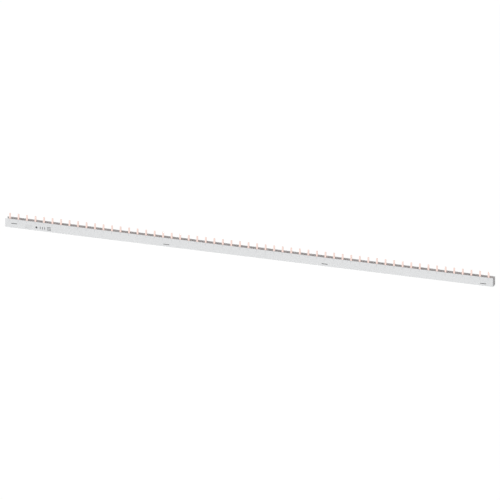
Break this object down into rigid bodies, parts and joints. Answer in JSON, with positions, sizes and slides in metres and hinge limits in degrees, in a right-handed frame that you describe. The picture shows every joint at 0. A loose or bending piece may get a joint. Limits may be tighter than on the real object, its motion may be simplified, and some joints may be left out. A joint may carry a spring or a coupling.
{
  "type": "comb busbar",
  "caption": "Three-phase comb busbar: a long light-grey plastic trough holding copper combs whose pins stand in one row along the front edge.",
  "frame": {"origin": "centre of the underside of the housing", "axes": "+X along the row of pins, +Z the way the pins point, -Y out of the front wall that the pins stand behind"},
  "size_m": [1.016, 0.013, 0.0292],
  "materials": {
    "housing_plastic": "satin extruded surface, light grey",
    "comb_copper": "bright bare copper, cleanly rolled and stamped"
  },
  "bodies": {
    "root": {"housing": "housing_plastic", "front_comb": "comb_copper", "middle_comb": "comb_copper", "rear_comb": "comb_copper"}
  },
  "joints": []
}
